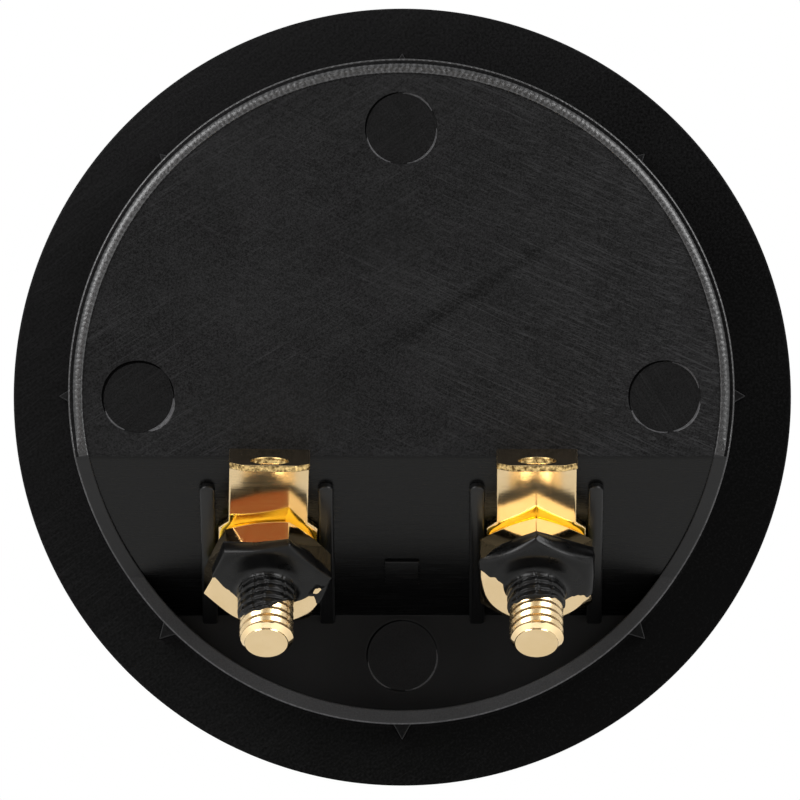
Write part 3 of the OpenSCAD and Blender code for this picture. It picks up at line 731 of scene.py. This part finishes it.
# One turned post: rows of (radius, level, thread pitch, thread depth) from the stud's end
# over the shoulder and the barrel into the socket.
def buildPost(side):
    p, angle = post, evenTurn(96)
    end, chamfer = p["studEnd"], p["studChamfer"]
    tip = p["studR"] - chamfer
    studZ = np.arange(end - p["studEdge"], p["threadFrom"], -p["studStep"])
    studR = np.clip(tip + (end - p["studPilot"] - studZ), tip, p["studR"])
    neckR, neckEnd, edge = p["barrelR"] - p["neckIn"], p["shoulderFront"] - p["neckLen"], p["shoulderEdge"]
    barrelZ = np.arange(neckEnd - 0.1, p["barrelEnd"] + 0.01, -p["barrelStep"])
    barrelR = np.minimum(p["barrelR"], p["barrelR"] - p["barrelChamfer"] + (barrelZ - p["barrelEnd"]))
    socketEnd = p["barrelEnd"] + p["socketDepth"]
    plain = [
        (p["studR"] - 0.02, p["threadFrom"] - 0.05), (p["studR"] - 0.02, p["shoulderBack"]),
        (p["shoulderR"] - edge, p["shoulderBack"]), (p["shoulderR"], p["shoulderBack"] - edge),
        (p["shoulderR"], p["shoulderFront"] + edge), (p["shoulderR"] - edge, p["shoulderFront"]),
        (neckR, p["shoulderFront"]), (neckR, neckEnd),
    ]
    mouth = [
        (p["barrelR"] - p["barrelChamfer"], p["barrelEnd"]), (p["socketR"] + p["socketEdge"], p["barrelEnd"]),
        (p["socketR"], p["barrelEnd"] + p["socketEdge"]), (p["socketR"], socketEnd),
        (0, socketEnd + p["drillTip"]),
    ]
    rows = np.vstack([
        [(0, end, 1, 0), (tip * 0.9, end, 1, 0), (tip - p["studEdge"], end, 1, 0),
         (tip - 0.3 * p["studEdge"], end - 0.3 * p["studEdge"], 1, 0)],
        np.column_stack([studR, studZ, 0 * studZ + p["studPitch"], 0 * studZ + p["studDepth"]]),
        [(r, z, 1, 0) for r, z in plain],
        np.column_stack([barrelR, barrelZ, 0 * barrelZ + p["barrelPitch"], 0 * barrelZ + p["barrelDepth"]]),
        [(r, z, 1, 0) for r, z in mouth],
    ])
    limit, z, pitch, depth = (rows[:, i, None] for i in range(4))
    crest = np.where(depth > 0, np.where(z > 0, p["studR"], p["barrelR"]), limit)
    flat = np.where(z > 0, p["studCrest"], p["barrelCrest"])
    r = np.minimum(limit, crest - depth * threadShare(angle, z, pitch, flat))
    body = polar(r, angle, z)
    piece = makePiece(side + "Post", [patch(fromTerminal(side, body), 0, closeCols=True)])
    bar = prism(circle((0, 0), p["wireHoleR"], 48), -p["shoulderR"], p["shoulderR"])
    bar = bar[..., [2, 0, 1]] + (0, 0, p["wireHoleAt"])
    cutAway(piece, makePiece("wireHole", [patch(fromTerminal(side, bar), 0, closeCols=True)]))
    crisp(piece, 38)
    centres = np.empty(3 * len(piece.data.polygons), np.float32)
    piece.data.polygons.foreach_get("center", centres)
    level = (centres.reshape(-1, 3) - terminals[side]["origin"]) @ terminals[side]["inward"] / mm
    onThread = (level > p["threadFrom"] - 0.05) & (level < end - p["studPilot"] - chamfer)  # a duller gold
    dress(piece, "cup", "gold_plate", side + "_binding_post", finish["gold"], finish["threadGold"])
    piece.data.polygons.foreach_set("material_index", onThread.astype(np.int32))
    return piece


nut = dict(
    flat=5.2, base=0.6, height=4.1, boreR=2.46, sink=0.35, edge=0.09,
    turn=dict(left=math.radians(10), right=math.radians(30)),
    faceR=dict(left=5.15, right=4.8), slope=dict(left=0.21, right=0.577),  # end face and the chamfer round it
    foot=dict(left=0.62, right=0.45), footGrow=0.4,  # chamfer towards the tab, taller at the corners
)


# Radius of the hexagon in a direction: half the width across flats over the cosine
# of the angle from the nearest flat's middle.
def hexRadius(side, angle):
    sixth = fullTurn / 6
    offFlat = (angle - nut["turn"][side]) % sixth - sixth / 2
    return nut["flat"] / np.cos(offFlat)


# Level of the edge between a nut's side and its turned chamfer, above the nut's seat.
def chamferLevel(side, angle):
    return nut["height"] - (hexRadius(side, angle) - nut["faceR"][side]) * nut["slope"][side]


# Nut as rows of (radius, level) round its axis: bore, seat, 45 degree foot, side, chamfer, end face.
def buildNut(side):
    count = 96
    angle = nut["turn"][side] + evenTurn(count)
    hexR, bore, sink, top = hexRadius(side, angle), nut["boreR"], nut["sink"], nut["height"]
    foot = nut["foot"][side] + nut["footGrow"] * (hexR - nut["flat"])
    rows = [
        (bore, sink), (bore + sink, 0), (hexR - foot, 0), (hexR, foot), (hexR, chamferLevel(side, angle)),
        (nut["faceR"][side], top), (bore + sink, top), (bore, top - sink),
    ]
    body = np.stack([polar(r, angle, z + nut["base"]) for r, z in rows])
    zone = np.repeat(np.arange(len(rows)) == 2, count).astype(int)  # the foot is painted yellower: a painted reflection of light bounced between the gold faces
    piece = makePiece(side + "HexNut", [patch(fromTerminal(side, body), zone, True, True)])
    soften(piece, nut["edge"], 18)
    dress(piece, "cup", "gold_plate", side + "_hex_nut", finish["gold"], finish["nutFootReflection"])
    return piece


tab = dict(
    halfW=3.7, footHalfW=4.6, footUp=3.65, thick=0.6, reach=13.7, bend=math.radians(52), bendR=0.6,
    endLen=8.0, corner=1.25, eyeletR=1.75, setback=2.4, holeR=2.65, edge=0.1,
    turn=dict(left=math.radians(-1.5), right=0.0),
)
bendMid = tab["bendR"] + tab["thick"] / 2  # radius of the bend in the middle of the sheet


# Bends a flat strip: x across and s along its middle layer. Flat up to the bend,
# then an arc of the middle radius, then straight at the bend's angle.
def bentStrip(x, s):
    turned = np.clip((s - tab["reach"]) / bendMid, 0, tab["bend"])
    past = np.maximum(s - tab["reach"] - bendMid * tab["bend"], 0)
    y = np.minimum(s, tab["reach"]) + bendMid * np.sin(turned) + past * math.cos(tab["bend"])
    z = tab["thick"] / 2 + bendMid * (1 - np.cos(turned)) + past * math.sin(tab["bend"])
    return np.stack([x, y, z], -1)


# Flat ring between a round hole and an outline, as rows from the hole to the outline.
def ringSheet(outline, centre, radius, rows=6):
    away = outline - centre
    direction = away / np.hypot(*away.T)[:, None]
    share = np.linspace(0, 1, rows)[:, None, None]
    return centre + (1 - share) * radius * direction + share * away


# Straight runs between corners, each in its own number of steps.
def walked(corners, steps):
    runs = zip(corners[:-1], corners[1:], steps)
    return np.vstack([np.linspace(a, b, n, endpoint=False) for a, b, n in runs])


# Tab: the flat strip's outline as a ring round the stud's hole, a plain band and a ring round
# the eyelet, bent as one sheet and then given its thickness.
def buildTab(side):
    half, count = tab["halfW"], 36
    bendEnd = tab["reach"] + bendMid * tab["bend"]
    length = bendEnd + tab["endLen"]
    lineX = np.linspace(-half, half, count + 1)
    wide, footUp = tab["footHalfW"], tab["footUp"]
    low, high = footUp + 2 * (wide - half), length - 2 * tab["setback"]
    arc = np.linspace(0, -math.pi, 61)
    rightFoot = walked([(half, low), (half, footUp + wide - half), (wide, footUp), (wide, 0)], (5, 8, 14))
    lowLine, highLine = (np.column_stack([lineX[:-1], np.full(count, s)]) for s in (low, high))
    foot = np.vstack([lowLine, rightFoot, wide * np.column_stack([np.cos(arc), np.sin(arc)]),
                      (rightFoot * (-1, 1))[:0:-1]])
    cut = tab["corner"]
    rightEdge = [(half, high), (half, length - cut), (half - cut, length)]
    walk = np.vstack([rightEdge, [(-x, s) for x, s in rightEdge[::-1]]])
    head = np.vstack([walked(walk, (24, 10, 30, 10, 24)), highLine])
    bendAt = np.linspace(tab["reach"], bendEnd, 15)
    levels = np.concatenate([np.linspace(low, tab["reach"], 12)[:-1], bendAt, [high]])
    strips = [
        (ringSheet(foot, np.zeros(2), tab["holeR"]), True),
        (np.stack(np.meshgrid(lineX, levels), -1), False),
        (ringSheet(head, np.array([0, length - tab["setback"]]), tab["eyeletR"]), True),
    ]
    c, s = math.cos(tab["turn"][side]), math.sin(tab["turn"][side])
    aboutStud = np.array([(c, s, 0), (-s, c, 0), (0, 0, 1)])
    sheets = []
    for strip, closed in strips:
        bent = bentStrip(strip[..., 0], strip[..., 1]) @ aboutStud
        sheets.append(patch(fromTerminal(side, bent), 0, closeCols=closed))
    piece = makePiece(side + "SolderTab", sheets)
    wall = piece.modifiers.new("sheet", "SOLIDIFY")
    wall.thickness, wall.offset, wall.use_even_offset = tab["thick"] * mm, 0, True
    wall.material_offset_rim = 1
    soften(piece, tab["edge"], 50)
    dress(piece, "cup", "gold_plate", side + "_solder_tab", finish["tabGold"], finish["tabEdge"])
    return piece


for side in sides:
    buildPost(side)
    buildNut(side)
    buildTab(side)
print("posts, nuts and tabs built")

lacquer = dict(
    cols=222, rows=dict(side=30, chamfer=16, face=40, fillet=24, thread=110),
    thick=0.2, sunk=0.12, taper=0.3, edgeRound=0.36, filletOut=0.85, filletUp=0.85,
    threadDepth=0.19, threadFill=0.15, threadCrest=0.4,
    edgeWave=0.07, sideWave=0.06, endWave=0.2, taperWave=0.45, skinWave=0.012, threadWave=0.026,
    edgeR=(2.9, 3.2, 3.5, 4.0, 4.5, 5.1),  # radii on the end face for the two edges below, in degrees
    rightEdge=dict(left=(-42, -40, -33, -19, -16, -27), right=(-45, -29, -20, -17, -17.5, -11)),
    leftEdge=dict(left=(210, 197, 185, 179, 173, 164), right=(200, 172, 167, 163.5, 161, 158)),
    length=dict(left=(1.7, 4.5, 3.8), right=(2.5, 3.35, 2.95)),  # along the stud: right, top, left
    # the film's low edge on the nut's sides: angles, and levels above the nut's seat
    sideAngles=dict(left=(10, 40, 70, 100, 130, 160), right=(30, 72, 90, 126, 139, 150)),
    sideLevels=dict(left=(3.1, 2.6, 2.95, 2.95, 2.4, 2.9), right=(1.7, 2.06, 2.3, 2.25, 2.75, 3.5)),
    bareAt=dict(left=(4.68, -6), right=None), bareSize=(0.34, 0.75), bareLean=0.4,  # spot the brush missed
    creases=dict(left=(52, 93, 116, 148), right=(60, 91, 128)),  # lengthwise, in degrees
    creaseW=2.6, creaseH=0.1, creaseBow=0.06,
)


# Gaussian mean of each column along its rows, taken up by each row's share.
def roundedRows(level, share):
    reach, rowGap = 12, 0.065
    taps = np.exp(-0.5 * (np.arange(-reach, reach + 1) * rowGap / lacquer["edgeRound"]) ** 2)
    padded = np.pad(level, ((reach, reach), (0, 0)), mode="edge")
    mean = sum(tap * padded[i:i + len(level)] for i, tap in enumerate(taps)) / taps.sum()
    return level + (mean - level) * share


# Film brushed over nut and thread: rows run down a side, over the chamfer, across the end
# face and along the stud; each row spans its own range of angles. The film's height above
# the metal falls below it towards every edge, so the visible edge is ragged.
def buildLacquer(side, seed):
    film, cols = lacquer, lacquer["cols"]
    u = np.linspace(0, 1, cols)[None]
    f = {name: np.linspace(0, 1, n)[:, None] for name, n in film["rows"].items()}
    none = {name: 0 * share for name, share in f.items()}
    top, filletOut, filletUp = nut["height"], film["filletOut"], film["filletUp"]
    studR, faceR, filletR = post["studR"], nut["faceR"][side], post["studR"] + filletOut
    rowR = np.concatenate([nut["flat"] + none["side"], faceR + none["chamfer"],
                           faceR + (filletR - faceR) * f["face"],
                           filletR - filletOut * f["fillet"], studR + none["thread"]])
    ends = [np.radians(np.interp(rowR, film["edgeR"], film[key][side])) for key in ("rightEdge", "leftEdge")]
    along = np.cumsum(np.full((len(rowR), 1), 0.07), 0)
    ends = [end + film["edgeWave"] * ripple(seed + i, along, 0 * along, 2.2) for i, end in enumerate(ends)]
    angle = ends[0] + u * (ends[1] - ends[0])
    toRight, toTop, toLeft = film["length"][side]
    middle, tilt = (toLeft + toRight) / 2, (toLeft - toRight) / 2
    cuts = np.cumsum([0, *film["rows"].values()])
    part = {name: angle[a:b] for name, a, b in zip(film["rows"], cuts[:-1], cuts[1:])}
    even = 0 * u

    # the metal under the film: side, chamfer, end face, a hollow fillet and the thread
    hexC = hexRadius(side, part["chamfer"])
    levelC = chamferLevel(side, part["chamfer"])
    sideTop = chamferLevel(side, part["side"])
    sideLow = np.interp(np.degrees(part["side"]), film["sideAngles"][side], film["sideLevels"][side])
    sideLow = sideLow + film["sideWave"] * ripple(seed + 3, part["side"], 0 * part["side"], 9)
    sideLow = np.minimum(sideLow, sideTop - 0.3)
    reach = (middle + (toTop - middle) * np.sin(part["thread"]) - tilt * np.cos(part["thread"])
             + film["endWave"] * ripple(seed + 5, part["thread"], 0 * part["thread"], 6))
    reach = np.maximum(reach, filletUp + 0.25)
    threadZ = top + filletUp + (reach - filletUp) * f["thread"]
    drop = threadShare(part["thread"], threadZ + nut["base"], post["studPitch"], film["threadCrest"])
    drop = film["threadDepth"] * smoothStep(drop)
    bow = f["fillet"] * math.pi / 2
    r = np.concatenate([
        hexRadius(side, part["side"]), hexC + (faceR - hexC) * f["chamfer"],
        faceR + (filletR - faceR) * f["face"] + even,
        filletR - filletOut * np.sin(bow) + even, studR - (1 - film["threadFill"]) * drop,
    ])
    z = np.concatenate([
        sideLow + (sideTop - sideLow) * f["side"],
        levelC + (top - levelC) * f["chamfer"], top + none["face"] + even,
        top + filletUp * (1 - np.cos(bow)) + even, threadZ,
    ])

    # the way out of the metal, row by row: its parts along the radius and along the stud
    outR = np.concatenate([1 + none["side"], 0.5 + 0.4 * (1 - f["chamfer"]), none["face"],
                           np.sin(bow), 1 + none["thread"]])
    outZ = np.concatenate([none["side"], 0.87 - 0.4 * (1 - f["chamfer"]), 1 + none["face"],
                           np.cos(bow), none["thread"]])

    # distance to the nearest edge of the film, in taper widths
    sideways = np.minimum(u, 1 - u) * (ends[1] - ends[0]) * rowR
    far = np.full((cuts[-1], cols), 9.0)
    fromStart = np.concatenate([2 * (sideTop - sideLow) * f["side"], far[cuts[1]:]])
    toEnd = np.concatenate([far[:cuts[-2]], (reach - filletUp) * (1 - f["thread"])])
    depth = np.minimum(np.minimum(sideways, fromStart), toEnd) / film["taper"]
    depth = depth * (1 + film["taperWave"] * ripple(seed + 9, angle * 4, z * 2.5, 2.0))

    # thickness: an even coat with waves, more of them on the thread, and a few lengthwise creases,
    # raised and sunk in turn
    onThread = np.concatenate([np.zeros((cuts[3], 1)), 0.6 * f["fillet"], 1 + none["thread"]])
    onSide = np.concatenate([1 + none["side"], 1 - f["chamfer"], np.zeros((cuts[-1] - cuts[2], 1))])
    number = np.arange(len(film["creases"][side]))
    lines = np.radians(film["creases"][side]) + film["creaseBow"] * np.sin(z[..., None] * 1.7 + number)
    crease = np.exp(-((angle[..., None] - lines) / math.radians(film["creaseW"])) ** 2)
    crease = (crease * (-1.0) ** number).sum(-1) * onThread
    wrinkle = (film["skinWave"] * ripple(seed + 13, angle * 5, z * 3, 1.6)
               + film["threadWave"] * onThread * ripple(seed + 17, angle * 8, z * 5, 1.6)
               - film["creaseH"] * crease)
    height = -film["sunk"] + (film["thick"] + film["sunk"] + wrinkle) * smoothStep(depth)
    onEdge = np.zeros_like(height, bool)
    onEdge[[0, -1]] = True
    onEdge[:, [0, -1]] = True
    height = np.where(onEdge, -film["sunk"], height)
    if film["bareAt"][side]:
        (spotR, spotTurn), (wide, tall) = film["bareAt"][side], film["bareSize"]
        c, s = math.cos(film["bareLean"]), math.sin(film["bareLean"])
        out, about = r - spotR, (angle - math.radians(spotTurn)) * r
        off = np.hypot((out * c - about * s) / wide, (out * s + about * c) / tall)
        height = height - (height + film["sunk"]) * smoothStep(1.6 - off) * (1 - onSide)

    # the film bridges the nut's edges in round curves, less so towards its low edge and the thread
    toRound = np.concatenate([smoothStep(4 * f["side"]), 1 + none["chamfer"], 1 + none["face"],
                              1 - f["fillet"], none["thread"]])
    skins = []
    for lift in (height, -film["sunk"] + 0 * height):
        rr, zz = (roundedRows(level, toRound) for level in (r + lift * outR, z + lift * outZ + nut["base"]))
        skins.append(polar(rr, angle, zz))
    piece = makePiece(side + "Lacquer", [patch(fromTerminal(side, skin)) for skin in skins], 5e-7)
    dress(piece, "cup", "black_lacquer", side + "_locking_lacquer", finish["lacquer"])
    return piece


for number, side in enumerate(sides):
    buildLacquer(side, 40 + 100 * number)
print("lacquer built")

knob = dict(
    outerR=5.9, base=-6.8, end=-22.8, baseLen=2.4, chamfer=0.5, boreR=3.56, funnel=0.9,
    ringLen=3.0, ringWall=1.1, ringEdge=0.37, ringFit=0.02, land=0.8, flutes=24, fluteR=0.5, runOut=0.5,
    polarityR=6.3, polarityEdge=0.4, studFit=0.15,
    clampR=5.3, clampT=1.2, clampEdge=0.3, clampFit=0.06, gap=0.05,
)
trim = dict(left=("red_plastic", finish["redPlastic"]), right=("black_trim", finish["blackPlastic"]))


# Fluted knob: a turned profile whose radius dips by a circular groove at each flute,
# sqrt(r^2 - d^2) for the distance d along the girth from the groove's middle.
def buildKnob(side):
    k = knob
    ringZ = k["end"] + k["ringLen"]
    seatR = k["outerR"] - k["ringWall"]
    outline = roundedProfile(
        [(k["boreR"], k["end"] + k["funnel"]), (k["boreR"] + k["funnel"], k["end"]), (seatR, k["end"]),
         (seatR, ringZ), (k["outerR"], ringZ), (k["outerR"], k["base"]), (k["boreR"], k["base"])],
        (0.1, 0, 0, 0, k["chamfer"], k["chamfer"], 0.15))
    low, high = ringZ + k["land"], k["base"] - k["baseLen"]
    runOut = k["runOut"]
    between = np.linspace(low + runOut, high - runOut, 12)[1:-1]
    grooveZ = np.concatenate([low + np.linspace(0, runOut, 6), between, high - np.linspace(runOut, 0, 6)])
    isOuter = outline[:, 0] > k["outerR"] - 1e-6
    lastLow = np.flatnonzero(isOuter)[0]
    profile = np.vstack([outline[:lastLow + 1], np.column_stack([0 * grooveZ + k["outerR"], grooveZ]),
                         outline[lastLow + 1:]])
    perFlute = 16
    angle = evenTurn(k["flutes"] * perFlute)
    pitch = fullTurn / k["flutes"]
    off = ((angle + pitch / 2) % pitch - pitch / 2) * k["outerR"]
    groove = np.sqrt(np.maximum(k["fluteR"] ** 2 - off ** 2, 0))
    r, z = profile[:, :1], profile[:, 1:]
    share = np.sqrt(np.clip(np.minimum(z - low, high - z) / runOut, 0, 1)) * (np.abs(r - k["outerR"]) < 1e-6)
    body = polar(r - groove * share, angle, z)
    piece = makePiece(side + "ThumbKnob", [patch(fromTerminal(side, body), 0, True, True)])
    crisp(piece, 40)
    dress(piece, side + "_knob", "gold_plate", side + "_thumb_knob", finish["gold"])
    return piece


# A turned ring from four corners of its section, each with its own rounding.
def turnedRing(name, side, inner, outer, low, high, radii):
    profile = roundedProfile([(inner, low), (outer, low), (outer, high), (inner, high)], radii)
    piece = makePiece(name, [patch(fromTerminal(side, revolved(profile, 128)), 0, True, True)])
    crisp(piece, 40)
    return piece


for side in sides:
    k = knob
    buildKnob(side)
    slotName, trimFinish = trim[side]
    seatR = k["outerR"] - k["ringWall"] + k["ringFit"]
    ring = turnedRing(side + "KnobRing", side, seatR, k["outerR"], k["end"], k["end"] + k["ringLen"],
                      (0.1, k["ringEdge"], 0.12, 0))
    dress(ring, side + "_knob", slotName, side + "_knob_ring", trimFinish)
    washer = turnedRing(side + "PolarityWasher", side, post["studR"] + k["studFit"], k["polarityR"],
                        post["shoulderBack"], -cup["plateT"], (0, k["polarityEdge"], 0.1, 0))
    dress(washer, "cup", slotName, side + "_polarity_washer", trimFinish)
    clampLow = k["base"] + k["gap"]
    clamp = turnedRing(side + "ClampWasher", side, post["barrelR"] + k["clampFit"], k["clampR"], clampLow,
                       clampLow + k["clampT"], (0.1, 0.15, k["clampEdge"], 0.1))
    dress(clamp, side + "_clamp", "gold_plate", side + "_clamp_washer", finish["gold"])
print("knobs, rings and washers built")

studio = dict(
    floorDrop=0.1, floorSize=2.0, floorFront=-0.5,
    # the floor's tones, paler away from the part: painted light on the floor
    nearTone=(0.6, 0.6, 0.59), farTone=(0.93, 0.93, 0.92), paleFrom=0.1, paleTo=0.28,
    bright=0.72, dim=0.04, dimFrom=0.22, dimTo=0.62,
    lights=[  # direction in the row's frame, inner and outer half angle in degrees, radiance
        dict(way=(-0.66, -0.70, -0.05), inner=10, outer=20, tone=(1.5, 1.5, 1.5)),
        dict(way=(0.66, -0.70, -0.05), inner=10, outer=20, tone=(1.5, 1.5, 1.5)),
        dict(way=(0, -1, -0.03), inner=5, outer=16, tone=(0.85, 0.85, 0.85)),
        dict(way=(-0.42, -0.8, 0.42), inner=7, outer=19, tone=(0.8, 0.8, 0.8)),
        dict(way=(0.42, -0.8, 0.42), inner=7, outer=19, tone=(0.8, 0.8, 0.8)),
        dict(way=(0, -0.87, 0.49), inner=4, outer=15, tone=(0.5, 0.42, 0.3)),
    ],
    cloth=dict(way=(-0.39, -0.903, -0.095), inner=8, outer=14, tone=(0.27, 0.08, 0.035)),
    softbox=dict(places=[(-0.55, -0.52, 0.42), (0.55, -0.52, 0.42)], size=(0.46, 0.46), power=4.8),
)


# Floor below the part, its tone rising with the distance from the middle: painted light, darker under the
# part and paler further out where lamps would light it. And the light round it.
def buildStudio():
    s = studio
    half = s["floorSize"] / 2
    line = np.linspace(-half, half, 9)
    gx, gy = np.meshgrid(line, line)
    gy = gy - gy.min() + s["floorFront"]
    floor = makePiece("floor", [patch(np.stack([gx, gy, 0 * gx - s["floorDrop"]], -1))])
    pale, tree, shader, place = newFinish("pale floor", Roughness=0.7)
    away = addNode(tree, "VectorMath", {0: place}, operation="LENGTH").outputs["Value"]
    # painted light: the floor darker under the part and paler further out
    paler = spread(tree, away, (s["paleFrom"], s["paleTo"]), (0, 0.95))
    paler = added(tree, paler, times(tree, cells(tree, place, 110), 0.05))
    tree.links.new(blendColours(tree, paler, s["nearTone"], s["farTone"]), shader.inputs["Base Color"])
    floor.data.materials.append(pale)

    # light tent: bright from above and from the sides, dim towards the camera's place,
    # with soft lights as smooth spots of direction; the background itself is white
    world = bpy.data.worlds.new("light tent")
    world.use_nodes = True
    bpy.context.scene.world = world
    tree = world.node_tree
    way = addNode(tree, "TexCoord").outputs["Generated"]
    level = addNode(tree, "MapRange", {"Value": addNode(tree, "SeparateXYZ", {0: way}).outputs["Y"],
                                       "From Min": -s["dimTo"], "From Max": -s["dimFrom"],
                                       "To Min": s["dim"], "To Max": s["bright"]},
                    interpolation_type="SMOOTHSTEP").outputs["Result"]
    total = addNode(tree, "CombineXYZ", {"X": level, "Y": level, "Z": level}).outputs[0]

    # share of a spot: the cosine to its direction, from the outer to the inner half angle
    def spotOf(light):
        inputs = {0: way, 1: Vector(light["way"]).normalized()}
        near = addNode(tree, "VectorMath", inputs, operation="DOT_PRODUCT").outputs["Value"]
        outer, inner = (math.cos(math.radians(light[key])) for key in ("outer", "inner"))
        return addNode(tree, "MapRange", {"Value": near, "From Min": outer, "From Max": inner},
                       interpolation_type="SMOOTHSTEP").outputs["Result"]

    for light in s["lights"]:
        spot = spotOf(light)
        share = addNode(tree, "CombineXYZ", {"X": spot, "Y": spot, "Z": spot}).outputs[0]
        inputs = {0: share, 1: light["tone"], 2: total}
        total = addNode(tree, "VectorMath", inputs, operation="MULTIPLY_ADD").outputs[0]
    hung = addNode(tree, "Mix", {"Factor": spotOf(s["cloth"]), 6: total}, data_type="RGBA")
    hung.inputs[7].default_value = (*s["cloth"]["tone"], 1)
    total = hung.outputs[2]
    seen = addNode(tree, "LightPath").outputs["Is Camera Ray"]
    shown = addNode(tree, "Mix", {"Factor": seen, 6: total}, data_type="RGBA")
    shown.inputs[7].default_value = (1, 1, 1, 1)
    tree.links.new(shown.outputs[2], tree.nodes["Background"].inputs["Color"])

    box = s["softbox"]
    for number, place in enumerate(box["places"]):
        lamp = bpy.data.lights.new(f"softbox{number}", "AREA")
        lamp.shape, lamp.energy = "RECTANGLE", box["power"]
        lamp.size, lamp.size_y = box["size"]
        holder = bpy.data.objects.new(lamp.name, lamp)
        holder.location = place
        holder.rotation_mode = "QUATERNION"
        holder.rotation_quaternion = (-Vector(place)).to_track_quat("-Z", "Y")
        bpy.context.scene.collection.objects.link(holder)


# Long lens at the photograph's angle, aimed close to the cup's middle.
def buildCamera():
    view = dict(place=(0.0052, -1.0, -0.0279), aim=(-0.00021, 0, -0.00031), lens=479.5, sensor=36)
    camera = bpy.data.cameras.new("camera")
    camera.lens, camera.sensor_width = view["lens"], view["sensor"]
    camera.clip_start, camera.clip_end = 0.05, 20
    holder = bpy.data.objects.new("camera", camera)
    holder.location = view["place"]
    holder.rotation_mode = "QUATERNION"
    holder.rotation_quaternion = (Vector(view["aim"]) - Vector(view["place"])).to_track_quat("-Z", "Y")
    bpy.context.scene.collection.objects.link(holder)
    bpy.context.scene.camera = holder
    bpy.context.scene.view_settings.view_transform = "Standard"


buildStudio()
buildCamera()
print("studio and camera ready")
